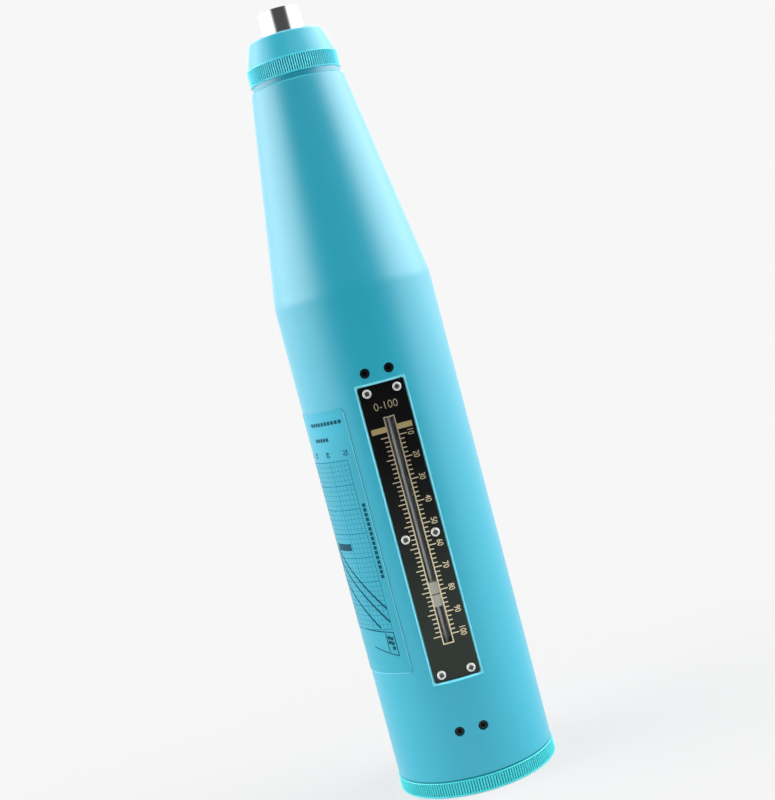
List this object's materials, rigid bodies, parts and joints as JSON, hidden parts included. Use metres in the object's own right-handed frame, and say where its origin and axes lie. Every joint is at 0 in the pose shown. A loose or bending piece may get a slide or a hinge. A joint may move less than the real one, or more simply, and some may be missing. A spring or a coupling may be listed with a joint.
{
  "type": "concrete test hammer",
  "caption": "Cylindrical rebound test hammer with a conical nose, steel impact plunger, scale window with a sliding rider, lock button and knurled end caps.",
  "frame": {"origin": "centre of the rear face on the instrument's axis", "axes": "+Z along the axis towards the plunger's tip, the scale plate faces -Y, the lock button +Y"},
  "size_m": [0.0546, 0.0571, 0.2675],
  "materials": {
    "body_paint": "satin cyan powder coat on aluminium",
    "rib_paint": "satin turquoise coat on knurled aluminium",
    "polished_steel": "polished",
    "bright_steel": "turned",
    "dark_steel": "oiled dark steel",
    "spring_steel": "drawn wire",
    "bush_brass": "turned",
    "black_plate": "black anodised with gold print",
    "black_screw": "blackened",
    "clear_pane": "clear",
    "rider_white": "matt ivory",
    "felt": "felt",
    "label_film": "printed film"
  },
  "bodies": {
    "body": {"housing": "body_paint", "rear_cover": "rib_paint", "nose_cap": "rib_paint", "split_ring": "bright_steel", "guide_sleeve": "bush_brass", "felt_washer": "felt", "impact_spring": "spring_steel", "compression_spring": "spring_steel", "trip_screw": "dark_steel", "lock_nut": "bright_steel", "button_spring": "spring_steel", "button_collar": "bright_steel", "rider_rod": "polished_steel", "rod_block_front": "bush_brass", "rod_block_rear": "bush_brass", "block_screws": "black_screw", "scale_plate": "black_plate", "window_pane": "clear_pane", "plate_screws": "bright_steel", "conversion_label": "label_film"},
    "carriage": {"guide_bar": "bright_steel", "guide_disk": "bright_steel", "pawl_pin": "bright_steel", "pawl_spring": "spring_steel", "buffer_spring": "spring_steel"},
    "plunger": {"impact_plunger": "polished_steel"},
    "mass": {"hammer_mass": "dark_steel"},
    "catch": {"pawl": "dark_steel"},
    "button": {"push_button": "dark_steel"},
    "rider": {"rider": "rider_white", "rider_leaf": "spring_steel"}
  },
  "joints": [
    {"name": "plunger_slide", "type": "slide", "parent": "body", "child": "carriage", "axis": [0, 0, 1], "range_m": [0, 0.075], "deforming": ["compression_spring"]},
    {"name": "hammer_slide", "type": "slide", "parent": "carriage", "child": "mass", "axis": [0, 0, 1], "range_m": [-0.075, 0]},
    {"name": "buffer_slide", "type": "slide", "parent": "carriage", "child": "plunger", "axis": [0, 0, -1], "range_m": [0, 0.0015], "stiffness_N_per_m": 3000, "springref_m": -0.001, "deforming": ["buffer_spring"]},
    {"name": "pawl_swing", "type": "hinge", "parent": "carriage", "child": "catch", "pos_m": [0, 0.013, 0.0264], "axis": [1, 0, 0], "range_deg": [0, 12], "stiffness_Nm_per_rad": 0.05, "springref_deg": 20.05, "deforming": ["pawl_spring"]},
    {"name": "button_press", "type": "slide", "parent": "body", "child": "button", "axis": [0, -1, 0], "range_m": [0, 0.0018], "stiffness_N_per_m": 600, "springref_m": -0.001, "deforming": ["button_spring"]},
    {"name": "rider_slide", "type": "slide", "parent": "body", "child": "rider", "axis": [0, 0, 1], "range_m": [-0.01335, 0.06165]}
  ],
  "couplings": [
    {"joint": "hammer_slide", "follows": "plunger_slide", "ratio": -1}
  ]
}
